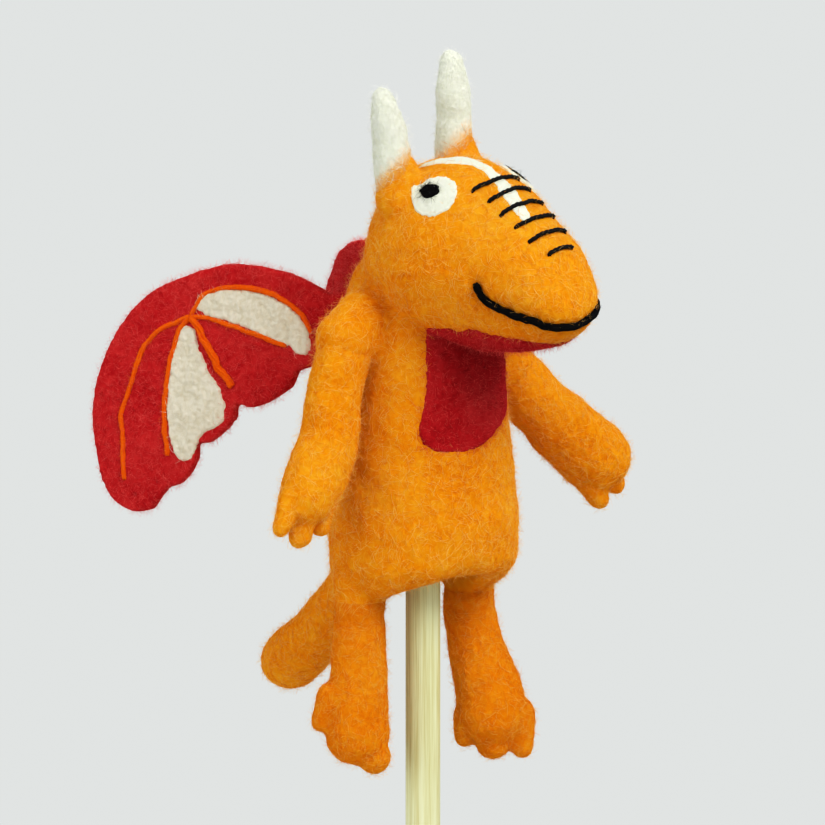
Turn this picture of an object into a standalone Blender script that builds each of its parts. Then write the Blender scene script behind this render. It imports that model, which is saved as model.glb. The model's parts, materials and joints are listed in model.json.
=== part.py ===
"""Felt dragon finger puppet on a bamboo rod.

Metres, +Z up.  The origin is the middle of the rod's lower end.  The dragon faces -Y, so its right
side is -X.  Heights of the felt pieces are measured from the hem, HEM above the rod's foot.
"""

from math import cos, pi, radians, sin, sqrt

import bmesh
import bpy
from mathutils import Matrix, Vector
from mathutils.bvhtree import BVHTree

MM = 0.001
GAP = 0.3 * MM
LAYER_GAP = 0.5 * MM

# Rod and the wool packed round its top
ROD_RADIUS = 3.5 * MM
ROD_TOP = 200 * MM
HEM = 145 * MM
POCKET_RADIUS = 10.5 * MM
POCKET_TIP_RADIUS = 8 * MM
POCKET_DOME = 52 * MM
WADDING_FOOT = 30 * MM

# Torso: radius at a height above the hem
TORSO = [(7, 18.9), (14, 19.1), (22, 18.5), (31, 17.4), (40, 16.7), (50, 16.1)]
NECK_BALL = 15.7 * MM
NECK_PIVOT = Vector((0, 0, HEM + 56 * MM))
BIB_ROWS = [
    (43.5, -35, 42),
    (39, -39, 42),
    (35.5, -42, 33),
    (32.5, -43, 16),
    (30.3, -39, 2),
    (29.2, -30, -12),
]
BIB_THICK = 1.1 * MM
HEM_ARCH = 4.5 * MM
HEM_ARCH_TALL = 26 * MM
HEM_ARCH_WIDE = radians(78)
ROUND = 24

# Head: sections (forward, top, bottom, half width) from the back of the skull to the nose
HEAD_ORIGIN = Vector((0, -8 * MM, HEM + 68 * MM))
HEAD_ROLL = radians(10)
SKULL_BACK = (-16.6, 0)
NOSE_TIP = (37.3, -9.2)
HEAD_SECTIONS = [
    (-14.5, 7.8, -8.0, 8.5),
    (-10, 14, -13.5, 13.8),
    (-4, 17.8, -17, 16.8),
    (3, 19.2, -18.7, 17.6),
    (10, 18.6, -19, 16.6),
    (16, 16.2, -19, 14.2),
    (22, 12.4, -18.6, 12),
    (27, 8.4, -17.8, 10.6),
    (31.5, 3.9, -16.6, 9),
    (35, -1.4, -14.6, 6.4),
    (36.8, -6, -12.2, 3.6),
]

# Face, in the head's directions (side, forward, up), in millimetres
EYES = {"right": (-9.9, 9.7, 13.4), "left": (10.2, 12.4, 12.8)}
EYE_RADII = (5.4, 4.7)
EYE_THICK = 0.7 * MM
PUPILS = {"right": (-9.5, 8.4, 14), "left": (9.7, 11.4, 13.4)}
PUPIL_RADII = (2.5, 1.8)
PUPIL_THICK = 0.6 * MM
BLAZE = [
    (-1, -3.8, 1.4),
    (3.5, -2.8, 1.9),
    (7, -1.4, 2.2),
    (10, -0.3, 1.8),
    (13, 0.4, 1.5),
    (16.5, 0.2, 1.5),
    (20, -0.6, 1.7),
    (23, -1.3, 1.7),
    (25.5, -1.7, 1.5),
    (27.5, -1.9, 1),
]
BLAZE_THICK = 0.5 * MM
STITCH_HALVES = (6.2, 5.1, 5, 4.2, 4.1, 2.8)
FIRST_STITCH = 18
STITCH_STEP = 3.1
FIRST_STITCH_UP = 15
STITCH_DROP = 2.6
STITCH_BEND = 1.3
STITCH_RADIUS = 0.42 * MM
MOUTH = [
    (-12.2, 21.4, -3.4),
    (-11.8, 22.2, -6.2),
    (-10, 27.4, -9.3),
    (-7.6, 32, -11.3),
    (-4, 35.4, -12.9),
    (-0.4, 36.6, -13.2),
    (3.2, 36, -12),
    (6.6, 33.6, -10.6),
    (9.6, 29.6, -8.8),
    (11.6, 24.6, -6.2),
    (12, 21.4, -3.6),
]
MOUTH_RADIUS = 0.65 * MM
JAW_ROWS = [(15.5, 11.3), (18.5, 9.9), (21.5, 8.4), (24.5, 7), (27.5, 5.4), (30, 3.2)]
JAW_THICK = 0.9 * MM

# Horns: root and tip in the head's directions, in millimetres
HORNS = {
    "right": ((-9.9, -0.6, 15.6), (-12, 0.5, 33)),
    "left": ((6, -1, 17), (8.2, -1.5, 37)),
}
HORN_RADII = (3.3 * MM, 3.4 * MM, 3.0 * MM, 2.0 * MM)
HORN_BASE_RADII = (5.5 * MM, 4.7 * MM, 3.9 * MM)

# Limbs
SHOULDER = {
    "right": Vector((-19.6 * MM, 0, HEM + 51 * MM)),
    "left": Vector((20.2 * MM, -1 * MM, HEM + 44.5 * MM)),
}
SHOULDER_BALL = 5.6 * MM
HIP_RADIUS = 5.3 * MM
HIP = {
    "right": Vector((-14.1 * MM, 2.8 * MM, HEM - 5.7 * MM)),
    "left": Vector((14.1 * MM, 2.2 * MM, HEM - 5.7 * MM)),
}
TAIL_ROOT = Vector((0, 20 * MM, HEM + 1 * MM))
TAIL_BALL = 5.2 * MM
TOE_RADIUS = 2.6 * MM

# Centre lines below each root (from the middle, and up from the hem) and their radii, in millimetres
ARMS = {
    "right": ([(-22.8, -0.5, 42), (-24.8, -1, 33), (-28, -1.5, 25.5), (-31.2, -2, 21)], (5.5, 5.8, 6.4, 6)),
    "left": ([(27.5, -1.5, 37.4), (36.5, -2, 29.8), (44, -2.5, 24.2)], (6.4, 7.2, 7.8)),
}
LEGS = {
    "right": ([(-14.4, 2.8, -14), (-15, 2.4, -22), (-15.6, 2, -28)], (5.7, 6.1, 6.4)),
    "left": ([(14.9, 1, -13), (15.4, -1.5, -20), (15.8, -3, -26)], (5.7, 6.8, 7.4)),
}
TAIL = ([(0, 27, -6), (0, 35, -13.8), (0, 43, -19.2)], (5.4, 6.2, 6.4))
FOOT_ACROSS = {"right": (0.77, -0.64, 0), "left": (0.85, -0.53, 0)}

# Root, tip and size of each finger, and of each toe as (across the foot, up from the hem)
FINGERS = {
    "right": [
        ((-27, -1.5, 19), (-28, -2, 15), 1.1),
        ((-31.5, -2.2, 18.5), (-33.5, -2.5, 13.2), 1.15),
        ((-35, -2.2, 21), (-38.2, -2.5, 15.2), 1.05),
    ],
    "left": [
        ((42, -3, 19), (44.6, -3.5, 15.6), 1.2),
        ((45, -3, 21.5), (49, -3.5, 18.2), 1.3),
        ((47, -2, 26.5), (51, -2, 23.4), 1.4),
    ],
}
TOES = {
    "right": [
        ((-5.2, -20.5), (-7, -25.5), 1.15),
        ((-1.5, -26), (-2.2, -31), 1.2),
        ((3, -27), (3.4, -33.4), 1.45),
    ],
    "left": [
        ((-5, -26.5), (-5.6, -31.2), 1.2),
        ((0.2, -27.5), (0.2, -33.8), 1.25),
        ((5.4, -26.5), (6.2, -33.4), 1.35),
    ],
}

# Wings: flat felt swept back from the shoulder blades, drawn as (out from the root, up from the hem)
WING_ROOT = (6 * MM, 14 * MM)
WING_SWEEP = {"right": radians(62), "left": radians(66)}
WING_LIFT = {"right": 0, "left": radians(10)}
WING_HINGE = (4, 52)
WING_THICK = 3 * MM
INLAY_THICK = 0.9 * MM
RIB_WIDTH = 1.1 * MM
SIDES = {"right": -1, "left": 1}

COLOURS = {
    "orange_felt": (0.80, 0.28, 0.012),
    "red_felt": (0.42, 0.018, 0.022),
    "white_felt": (0.72, 0.68, 0.52),
    "black_wool": (0.02, 0.017, 0.014),
    "black_thread": (0.012, 0.011, 0.012),
    "orange_roving": (0.83, 0.13, 0.01),
    "core_wool": (0.63, 0.58, 0.48),
    "bamboo": (0.66, 0.60, 0.33),
}


# ---- tools -------------------------------------------------------------------------------------


def clear_scene():
    for old in list(bpy.data.objects):
        bpy.data.objects.remove(old)


def material(name):
    found = bpy.data.materials.get(name)
    if found:
        return found
    made = bpy.data.materials.new(name)
    made.use_nodes = True
    shader = made.node_tree.nodes["Principled BSDF"]
    shader.inputs["Base Color"].default_value = (*COLOURS[name], 1)
    shader.inputs["Roughness"].default_value = 0.55 if name == "bamboo" else 0.95
    shader.inputs["Metallic"].default_value = 0
    return made


def pivot(name, place):
    """An empty on a joint's axis, to which the pieces that turn there are parented."""
    empty = bpy.data.objects.new(name, None)
    empty.location = place
    empty.empty_display_size = 5 * MM
    bpy.context.collection.objects.link(empty)
    return empty


def piece(name, bm, slot, parent=None):
    """A named solid from world-space mesh data, with its origin on its parent's axis."""
    bmesh.ops.recalc_face_normals(bm, faces=bm.faces)
    if parent:
        bmesh.ops.translate(bm, verts=bm.verts, vec=-parent.location)
    mesh = bpy.data.meshes.new(name)
    bm.to_mesh(mesh)
    bm.free()
    mesh.shade_smooth()
    mesh.set_sharp_from_angle(angle=radians(50))
    made = bpy.data.objects.new(name, mesh)
    made.parent = parent
    if slot:
        mesh.materials.append(material(slot))
    bpy.context.collection.objects.link(made)
    return made


def tool(name, bm):
    """A solid that only shapes other pieces and isn't one itself."""
    made = piece(name, bm, None)
    made.hide_render = True
    made.display_type = "WIRE"
    return made


def combine(target, other, operation):
    step = target.modifiers.new(other.name, "BOOLEAN")
    step.operation = operation
    step.solver = "EXACT"
    step.object = other


def smooth_curve(points, steps, closed=False):
    """Points on a Catmull-Rom curve through the given ones, `steps` to each span."""
    given = [Vector(p) for p in points]
    count = len(given)
    spans = count if closed else count - 1
    made = []
    for i in range(spans):
        a, b, c, d = (
            given[j % count] if closed else given[min(max(j, 0), count - 1)] for j in range(i - 1, i + 3)
        )
        for k in range(steps):
            t = k / steps
            slope = (c - a) * t
            bend = (2 * a - 5 * b + 4 * c - d) * t**2 + (3 * b - a - 3 * c + d) * t**3
            made.append(0.5 * (2 * b + slope + bend))
    return made if closed else made + [given[-1]]


def skin(first, rings, last):
    """A closed mesh over equal rings, ending in the points first and last."""
    bm = bmesh.new()
    rows = [[bm.verts.new(p) for p in ring] for ring in rings]
    count = len(rows[0])
    for pole, row in ((first, rows[0]), (last, rows[-1])):
        tip = bm.verts.new(pole)
        for i in range(count):
            bm.faces.new((tip, row[i], row[(i + 1) % count]))
    for low, high in zip(rows, rows[1:]):
        for i in range(count):
            j = (i + 1) % count
            bm.faces.new((low[i], low[j], high[j], high[i]))
    return bm


def ball(centre, radius, segments=20):
    bm = bmesh.new()
    bmesh.ops.create_uvsphere(
        bm, u_segments=segments, v_segments=segments // 2, radius=radius, matrix=Matrix.Translation(centre)
    )
    return bm


def sweep(path, radii, wide=(1, 0, 0), flat=1.0, segments=14, steps=3):
    """A round-ended tube of changing radius; `flat` thins it across the `wide` direction."""
    rows = smooth_curve([(*p, r) for p, r in zip(path, radii)], steps)
    centres = [r.to_3d() for r in rows]
    sizes = [r[3] for r in rows]
    starts = round_end(centres[0], centres[0] - centres[1], sizes[0])
    ends = round_end(centres[-1], centres[-1] - centres[-2], sizes[-1])[::-1]
    stations = starts[1:] + list(zip(centres, sizes)) + ends[:-1]
    rings = []
    for i, (centre, size) in enumerate(stations):
        before, after = stations[max(i - 1, 0)][0], stations[min(i + 1, len(stations) - 1)][0]
        along = (after - before).normalized()
        side = Vector(wide) - Vector(wide).dot(along) * along
        side.normalize()
        front = along.cross(side)
        turn = [2 * pi * k / segments for k in range(segments)]
        rings.append([centre + size * (cos(t) * side + flat * sin(t) * front) for t in turn])
    return skin(starts[0][0], rings, ends[-1][0])


def round_end(centre, outward, radius):
    """Stations of a hemisphere, from its pole towards the tube."""
    outward = outward.normalized()
    angles = [radians(a) for a in (90, 60, 30)]
    return [(centre + outward * radius * sin(a), radius * cos(a)) for a in angles]


def turned(profile, segments=ROUND, lift=None):
    """A turned solid from (radius, height) pairs, whose first and last lie on the axis."""
    rings = []
    for radius, height in profile[1:-1]:
        ring = []
        for k in range(segments):
            turn = 2 * pi * k / segments
            up = height + (lift(turn, height) if lift else 0)
            ring.append((radius * sin(turn), -radius * cos(turn), up))
        rings.append(ring)
    return skin((0, 0, profile[0][1]), rings, (0, 0, profile[-1][1]))


def arc(radius, height, degrees):
    """Profile points at the given angles above the middle of a ball."""
    return [(radius * cos(radians(a)), height + radius * sin(radians(a))) for a in degrees]


def layer(rows, low, high):
    """A thin solid over a grid of (point, normal) pairs, between two heights above it."""
    bm = bmesh.new()
    sheets = [[[bm.verts.new(p + n * h) for p, n in row] for row in rows] for h in (low, high)]
    under, over = sheets
    last_row, last_column = len(rows) - 1, len(rows[0]) - 1
    for i in range(last_row):
        for j in range(last_column):
            for grid in sheets:
                bm.faces.new((grid[i][j], grid[i + 1][j], grid[i + 1][j + 1], grid[i][j + 1]))
    rim = [(0, j) for j in range(last_column)]
    rim += [(i, last_column) for i in range(last_row)]
    rim += [(last_row, j) for j in range(last_column, 0, -1)]
    rim += [(i, 0) for i in range(last_row, 0, -1)]
    for (a, b), (c, d) in zip(rim, rim[1:] + rim[:1]):
        bm.faces.new((under[a][b], under[c][d], over[c][d], over[a][b]))
    return bm


def disc_layer(centre, rings, low, high):
    """A thin round solid over a centre and rings of (point, normal) pairs."""
    bm = bmesh.new()
    count = len(rings[0])
    edges = []
    for h in (low, high):
        middle = bm.verts.new(centre[0] + centre[1] * h)
        rows = [[bm.verts.new(p + n * h) for p, n in ring] for ring in rings]
        for i in range(count):
            j = (i + 1) % count
            bm.faces.new((middle, rows[0][i], rows[0][j]))
            for a, b in zip(rows, rows[1:]):
                bm.faces.new((a[i], a[j], b[j], b[i]))
        edges.append(rows[-1])
    for i in range(count):
        j = (i + 1) % count
        bm.faces.new((edges[0][i], edges[0][j], edges[1][j], edges[1][i]))
    return bm


def prism(outline, low, high):
    """A flat plate from an outline of points and the offsets of its two faces."""
    bm = bmesh.new()
    under = [bm.verts.new(p + low) for p in outline]
    over = [bm.verts.new(p + high) for p in outline]
    bm.faces.new(under[::-1])
    bm.faces.new(over)
    bm.normal_update()
    for i in range(len(outline)):
        j = (i + 1) % len(outline)
        bm.faces.new((under[i], under[j], over[j], over[i]))
    bmesh.ops.triangulate(bm, faces=bm.faces)
    return bm


# ---- rod and wadding ---------------------------------------------------------------------------


def make_rod():
    chamfer = 0.4 * MM
    profile = [
        (0, 0),
        (ROD_RADIUS - chamfer, 0),
        (ROD_RADIUS, chamfer),
        (ROD_RADIUS, ROD_TOP - chamfer),
        (ROD_RADIUS - chamfer, ROD_TOP),
        (0, ROD_TOP),
    ]
    piece("rod", turned(profile, 24), "bamboo")


def make_wadding(parent):
    """Wool wound round the rod's top, with a blind hole for it."""
    bore = ROD_RADIUS + GAP
    outside = POCKET_TIP_RADIUS - GAP
    foot = HEM + WADDING_FOOT
    rounding = 2 * MM
    dome = HEM + POCKET_DOME - 1 * MM
    profile = [(0, ROD_TOP + GAP), (bore, ROD_TOP + GAP), (bore, foot)]
    profile += [(outside - rounding, foot), (outside, foot + rounding)]
    profile += arc(outside, dome, (0, 30, 60))
    profile += [(0, dome + outside)]
    piece("rod_wadding", turned(profile, 24), "core_wool", parent)


# ---- torso -------------------------------------------------------------------------------------


def torso_radius(height):
    """Outer radius at a height above the hem, in metres."""
    table = smooth_curve(TORSO, 8)
    for low, high in zip(table, table[1:]):
        if height / MM <= high.x:
            share = (height / MM - low.x) / (high.x - low.x)
            return (low.y + share * (high.y - low.y)) * MM
    return TORSO[-1][1] * MM


def hem_arch(turn, height):
    """The hem rises between the legs at the front and fades out up the belly."""
    fade = max(0, 1 - (height - HEM) / HEM_ARCH_TALL)
    from_front = min(turn, 2 * pi - turn)
    if from_front > HEM_ARCH_WIDE:
        return 0
    return HEM_ARCH * fade * cos(from_front / HEM_ARCH_WIDE * pi / 2) ** 1.5


def torso_profile(swell=0.0):
    """Pole, belly, neck ball and top pole of the outside, grown by swell."""
    corner = [(11.4, 0.2), (14.6, -0.2), (17.0, 1.3), (18.6, 4.0)]
    profile = [(r * MM, HEM + z * MM) for r, z in corner]
    profile += [(torso_radius(z * MM), HEM + z * MM) for z in (8, 13, 19, 25, 31, 37, 43, 49)]
    profile += arc(NECK_BALL, NECK_PIVOT.z, (0, 15, 30, 46, 62, 76))
    return [(r + swell, z) for r, z in profile]


def make_body_shell(parent):
    dome = HEM + POCKET_DOME
    pocket = [(0, dome + POCKET_TIP_RADIUS)] + arc(POCKET_TIP_RADIUS, dome, (65, 40, 18, 0))
    pocket += [(POCKET_TIP_RADIUS, HEM + z * MM) for z in (42, 31)]
    pocket += [(POCKET_RADIUS, HEM + z * MM) for z in (26, 14, 2)]
    profile = pocket + torso_profile() + [(0, NECK_PIVOT.z + NECK_BALL)]
    body = piece("body_shell", turned(profile, lift=hem_arch), "orange_felt", parent)
    for name, centre, radius in (
        ("right_shoulder_seat", SHOULDER["right"], SHOULDER_BALL),
        ("left_shoulder_seat", SHOULDER["left"], SHOULDER_BALL + 0.5 * MM),
        ("tail_seat", TAIL_ROOT, TAIL_BALL + 0.3 * MM),
    ):
        combine(body, tool(name, ball(centre, radius + GAP)), "DIFFERENCE")


def chest_point(turn, height):
    """A point and its outward normal on the torso; turn is measured from the front."""
    outward = Vector((sin(turn), -cos(turn), 0))
    return outward * torso_radius(height) + Vector((0, 0, HEM + height)), outward


def make_bib(parent):
    """Red felt on the chest, lower on the dragon's right."""
    rows = []
    for height, start, end in smooth_curve(BIB_ROWS, 2):
        turns = [start + (end - start) * j / 10 for j in range(11)]
        rows.append([chest_point(radians(turn), height * MM) for turn in turns])
    piece("throat_bib", layer(rows, GAP, GAP + BIB_THICK), "red_felt", parent)


# ---- head --------------------------------------------------------------------------------------


def head_point(side, forward, up):
    """World place of a point given in the tilted head's own directions, in millimetres."""
    left = Vector((cos(HEAD_ROLL), 0, sin(HEAD_ROLL)))
    crown = Vector((-sin(HEAD_ROLL), 0, cos(HEAD_ROLL)))
    return HEAD_ORIGIN + (side * left + forward * Vector((0, -1, 0)) + up * crown) * MM


def brow(turn):
    """The head is a little narrower above its middle."""
    return 1 - 0.15 * max(0, cos(turn))


def head_skin():
    rings = []
    for forward, top, bottom, half in smooth_curve(HEAD_SECTIONS, 2):
        middle, tall = (top + bottom) / 2, (top - bottom) / 2
        turns = [2 * pi * k / ROUND for k in range(ROUND)]
        rings.append([head_point(half * sin(t) * brow(t), forward, middle + tall * cos(t)) for t in turns])
    return skin(head_point(0, *SKULL_BACK), rings, head_point(0, *NOSE_TIP))


def neck_seat():
    """The hollow that the neck ball turns in, flaring out below it so the head can nod."""
    radius = NECK_BALL + GAP + 0.1 * MM
    depth = 17 * MM
    flare = depth * sin(radians(17))
    foot = NECK_PIVOT.z - depth
    profile = [(0, NECK_PIVOT.z + radius)] + arc(radius, NECK_PIVOT.z, (76, 62, 46, 30, 15, 0))
    return turned(profile + [(radius + flare, foot), (0, foot)])


def core_ball(swell):
    return ball(head_point(0, 13, 0.5), 10 * MM + swell)


def make_head(parent):
    head = piece("head_shell", head_skin(), "orange_felt", parent)
    combine(head, tool("head_core_room", core_ball(GAP)), "DIFFERENCE")
    combine(head, tool("neck_seat", neck_seat()), "DIFFERENCE")
    core = piece("head_core", core_ball(0), "core_wool", parent)
    combine(core, tool("neck_room", ball(NECK_PIVOT, NECK_BALL + 1.2 * MM, 28)), "DIFFERENCE")


class HeadSurface:
    """Places things on the outside of the head."""

    def __init__(self):
        bm = head_skin()
        bmesh.ops.recalc_face_normals(bm, faces=bm.faces)
        self.tree = BVHTree.FromBMesh(bm)
        bm.free()

    def nearest(self, side, forward, up):
        point, normal, _, _ = self.tree.find_nearest(head_point(side, forward, up))
        return point, normal

    def above(self, side, forward):
        """The place on the crown or the top of the snout, straight down from above."""
        start = head_point(side, forward, 40)
        down = head_point(side, forward, 0) - start
        point, normal, _, _ = self.tree.ray_cast(start, down)
        return point, normal

    def round_patch(self, centre, radii, rings, segments=14):
        """Centre and rings of an oval patch lying on the head; radii are (forward, across)."""
        point, normal = self.nearest(*centre)
        forward = Vector((0, -1, 0))
        along = (forward - forward.dot(normal) * normal).normalized()
        across = normal.cross(along)
        made = []
        for share in rings:
            ring = []
            for k in range(segments):
                turn = 2 * pi * k / segments
                spot = point + share * MM * (radii[0] * cos(turn) * along + radii[1] * sin(turn) * across)
                found = self.tree.find_nearest(spot)
                ring.append((found[0], found[1]))
            made.append(ring)
        return (point, normal), made


def make_eyes(surface, parent):
    eye_top = LAYER_GAP + EYE_THICK
    pupil_low = eye_top + GAP
    for side, spot in EYES.items():
        centre, rings = surface.round_patch(spot, EYE_RADII, (0.5, 0.82, 1))
        piece(f"{side}_eye", disc_layer(centre, rings, LAYER_GAP, eye_top), "white_felt", parent)
    for side, spot in PUPILS.items():
        centre, rings = surface.round_patch(spot, PUPIL_RADII, (0.6, 1), 10)
        disc = disc_layer(centre, rings, pupil_low, pupil_low + PUPIL_THICK)
        piece(f"{side}_pupil", disc, "black_wool", parent)


def make_blaze(surface, parent):
    """White streak from the crown down the middle of the brow."""
    rows = []
    for forward, middle, half in BLAZE:
        rows.append([surface.above(middle + half * u, forward) for u in (-1, -0.3, 0.3, 1)])
    piece("forehead_blaze", layer(rows, LAYER_GAP, LAYER_GAP + BLAZE_THICK), "white_felt", parent)


def make_nose_stitches(surface, parent):
    """Six threads across the snout, shorter towards the nose."""
    low = GAP + STITCH_RADIUS
    over_blaze = LAYER_GAP + BLAZE_THICK + low
    for i, half in enumerate(STITCH_HALVES):
        forward = FIRST_STITCH + STITCH_STEP * i
        up = FIRST_STITCH_UP - STITCH_DROP * i
        path = []
        for u in (-1, -0.72, -0.35, 0, 0.35, 0.72, 1):
            bend = STITCH_BEND * u * u
            point, normal = surface.nearest(half * u, forward - bend, up - bend)
            path.append(point + normal * (low + (over_blaze - low) * min(1, 2.6 * cos(u * pi / 2))))
        thread = sweep(path, [STITCH_RADIUS] * len(path), (0, 1, 0), segments=6, steps=1)
        piece(f"nose_stitch_{i + 1}", thread, "black_thread", parent)


def make_mouth(surface, parent):
    """A black cord from one corner of the mouth round the nose to the other."""
    path = []
    for side, forward, up in smooth_curve(MOUTH, 2):
        point, normal = surface.nearest(side, forward, up)
        path.append(point + normal * (GAP + MOUTH_RADIUS))
    cord = sweep(path, [MOUTH_RADIUS] * len(path), (0, 0, 1), segments=6, steps=1)
    piece("mouth_line", cord, "black_wool", parent)


def make_jaw_patch(surface, parent):
    """Red felt under the jaw, from the throat nearly to the chin."""
    rows = []
    for forward, half in JAW_ROWS:
        rise = 8 - 0.27 * (forward - JAW_ROWS[0][0])
        turns = [j / 4 for j in range(-4, 5)]
        rows.append([surface.nearest(half * u, forward, -20.5 + rise * u * u) for u in turns])
    piece("jaw_patch", layer(rows, LAYER_GAP, LAYER_GAP + JAW_THICK), "red_felt", parent)


def make_horns(parent):
    """White horns standing in orange cones."""
    for side, (root, tip) in HORNS.items():
        foot, end = head_point(*root), head_point(*tip)
        along = (end - foot).normalized()
        horn_foot = foot + along * 6.5 * MM
        belly = foot.lerp(end, 0.55)
        shape = sweep([horn_foot, belly, foot.lerp(end, 0.8), end], HORN_RADII, steps=2)
        piece(f"{side}_horn", shape, "white_felt", parent)
        room = tool(f"{side}_horn_room", sweep([horn_foot, belly], [r + GAP for r in HORN_RADII[:2]]))
        cone = [foot - along * 1.5 * MM, foot + along * 2 * MM, foot + along * 6 * MM]
        base = piece(f"{side}_horn_base", sweep(cone, HORN_BASE_RADII, segments=16), "orange_felt", parent)
        combine(base, room, "DIFFERENCE")
        combine(base, bpy.data.objects["head_envelope"], "DIFFERENCE")


def make_head_envelope():
    """The head grown by the gap, which trims the pieces that stand on it."""
    bm = head_skin()
    bmesh.ops.recalc_face_normals(bm, faces=bm.faces)
    bm.normal_update()
    moved = [(v, v.co + v.normal * (GAP + 0.1 * MM)) for v in bm.verts]
    for vert, place in moved:
        vert.co = place
    tool("head_envelope", bm)


# ---- limbs -------------------------------------------------------------------------------------


def add_toes(target, toes, wide):
    """Short round-ended toes or fingers from (root, tip, size)."""
    for i, (root, tip, size) in enumerate(toes):
        radius = TOE_RADIUS * size
        shape = sweep([root, tip], [radius, radius * 0.72], wide, segments=8, steps=2)
        combine(target, tool(f"{target.name}_toe_{i + 1}", shape), "UNION")


def from_hem(point):
    """World place of a point given in millimetres, with its height above the hem."""
    return Vector(point) * MM + Vector((0, 0, HEM))


def make_arms(pivots):
    profile = torso_profile(GAP + 0.1 * MM)[3:]
    envelope = [(0, HEM + 5 * MM)] + profile + [(0, NECK_PIVOT.z + NECK_BALL)]
    for side, (route, radii) in ARMS.items():
        path = [SHOULDER[side]] + [from_hem(p) for p in route]
        sizes = [SHOULDER_BALL] + [r * MM for r in radii]
        arm = piece(f"{side}_arm", sweep(path, sizes, (0, 1, 0), 0.98), "orange_felt", pivots[side])
        add_toes(arm, [(from_hem(root), from_hem(tip), size) for root, tip, size in FINGERS[side]], (0, 1, 0))
        rim = tool(f"{side}_shoulder_rim", ball(SHOULDER[side], SHOULDER_BALL + GAP / 2))
        trim = tool(f"{side}_arm_trim", turned(envelope))
        combine(trim, rim, "DIFFERENCE")
        combine(arm, trim, "DIFFERENCE")


def make_legs(pivots):
    """Dangling legs, each a little flat, whose feet turn out."""
    for side, (route, radii) in LEGS.items():
        path = [HIP[side]] + [from_hem(p) for p in route]
        sizes = [HIP_RADIUS] + [r * MM for r in radii]
        across = Vector(FOOT_ACROSS[side])
        leg = piece(f"{side}_leg", sweep(path, sizes, across, 0.86), "orange_felt", pivots[side])
        middle = Vector((path[-1].x, path[-1].y, HEM))
        toes = []
        for (root, root_up), (tip, tip_up), size in TOES[side]:
            start = middle + (across * root + Vector((0, 0, root_up))) * MM
            end = middle + (across * tip + Vector((0, 0, tip_up))) * MM
            toes.append((start, end, size))
        add_toes(leg, toes, across)


def make_tail(parent):
    route, radii = TAIL
    path = [TAIL_ROOT] + [from_hem(p) for p in route]
    piece("tail", sweep(path, [TAIL_BALL] + [r * MM for r in radii]), "orange_felt", parent)


# ---- wings -------------------------------------------------------------------------------------


WING_ARCH = [
    (3, 57),
    (8, 60.1),
    (14.4, 62.6),
    (21, 64),
    (28, 64.2),
    (34, 62.8),
    (41, 60.3),
    (47, 56.9),
    (52, 51.6),
    (55.4, 45.5),
    (58.2, 37.6),
    (58.4, 30),
    (57.2, 22),
    (54.6, 15.8),
    (50, 13),
    (45.4, 13.4),
]
WING_NOTCHES = [(41.6, 18.2), (35.1, 27.5), (26, 35.8), (12.4, 43.2), (7.6, 45.2)]
SCALLOP = (2.3, 2.2, 2.8, 0.3)
RIBS = {
    "rib_crown": [
        (39.4, 52.8), (35.6, 55.9), (32.2, 58.8), (27, 59.7), (20, 59.3), (14, 56.8), (9.8, 53), (8.8, 49.8),
    ],
    "rib_front": [(34.1, 53.9), (27, 52.2), (20.5, 50), (14.5, 48)],
    "rib_short": [(34.2, 52.2), (32.6, 48.4), (29.8, 44), (26.4, 39.4)],
    "rib_middle": [(38.8, 51), (40.5, 44.8), (41.6, 38), (42, 31.5), (41.2, 24.5)],
    "rib_outer": [(42, 51.4), (46.8, 46.8), (49.6, 38.5), (51.9, 33.2), (51.4, 26), (51.1, 18.5)],
}
PANELS = {
    "upper_panel": [
        (33.6, 55.6),
        (31.6, 57.3),
        (28, 58.2),
        (22, 57.7),
        (16, 55.8),
        (12.2, 52.9),
        (10.6, 49.8),
        (10.6, 47.3),
        (13.2, 49),
        (18.5, 50.9),
        (25.5, 53.4),
    ],
    "lower_panel": [
        (37.6, 50.6),
        (35.8, 50.4),
        (34.6, 46.6),
        (32.6, 42),
        (30.2, 38.8),
        (29.2, 35.6),
        (29.4, 32.8),
        (31.6, 31.2),
        (33.6, 30.6),
        (35.2, 27.6),
        (36.3, 25.2),
        (38.4, 24.8),
        (39.9, 28),
        (40.6, 33),
        (40.2, 39),
        (39.2, 45),
    ],
}


def wing_point(side, out, up):
    """World place of a point in the middle plane of a wing, given in millimetres."""
    hinge = Vector(WING_HINGE)
    spot = hinge + Matrix.Rotation(WING_LIFT[side], 2) @ (Vector((out, up)) - hinge)
    across = WING_ROOT[0] + spot.x * MM * cos(WING_SWEEP[side])
    back = WING_ROOT[1] + spot.x * MM * sin(WING_SWEEP[side])
    return Vector((SIDES[side] * across, back, HEM + spot.y * MM))


def wing_face(side):
    """The direction that a wing's decorated face looks in."""
    return Vector((SIDES[side] * sin(WING_SWEEP[side]), -cos(WING_SWEEP[side]), 0))


def wing_outline():
    """The arched leading edge, then scallops between the notches of the trailing edge."""
    outline = smooth_curve(WING_ARCH, 3)
    for a, b, depth in zip(WING_NOTCHES, WING_NOTCHES[1:], SCALLOP):
        start, end = Vector(a), Vector(b)
        across = Vector((end.y - start.y, start.x - end.x)).normalized() * -1
        for k in range(5):
            share = k / 5
            bulge = depth * sqrt(1 - (2 * share - 1) ** 2)
            outline.append(start.lerp(end, share) + across * bulge)
    return outline + [Vector(WING_NOTCHES[-1])]


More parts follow.
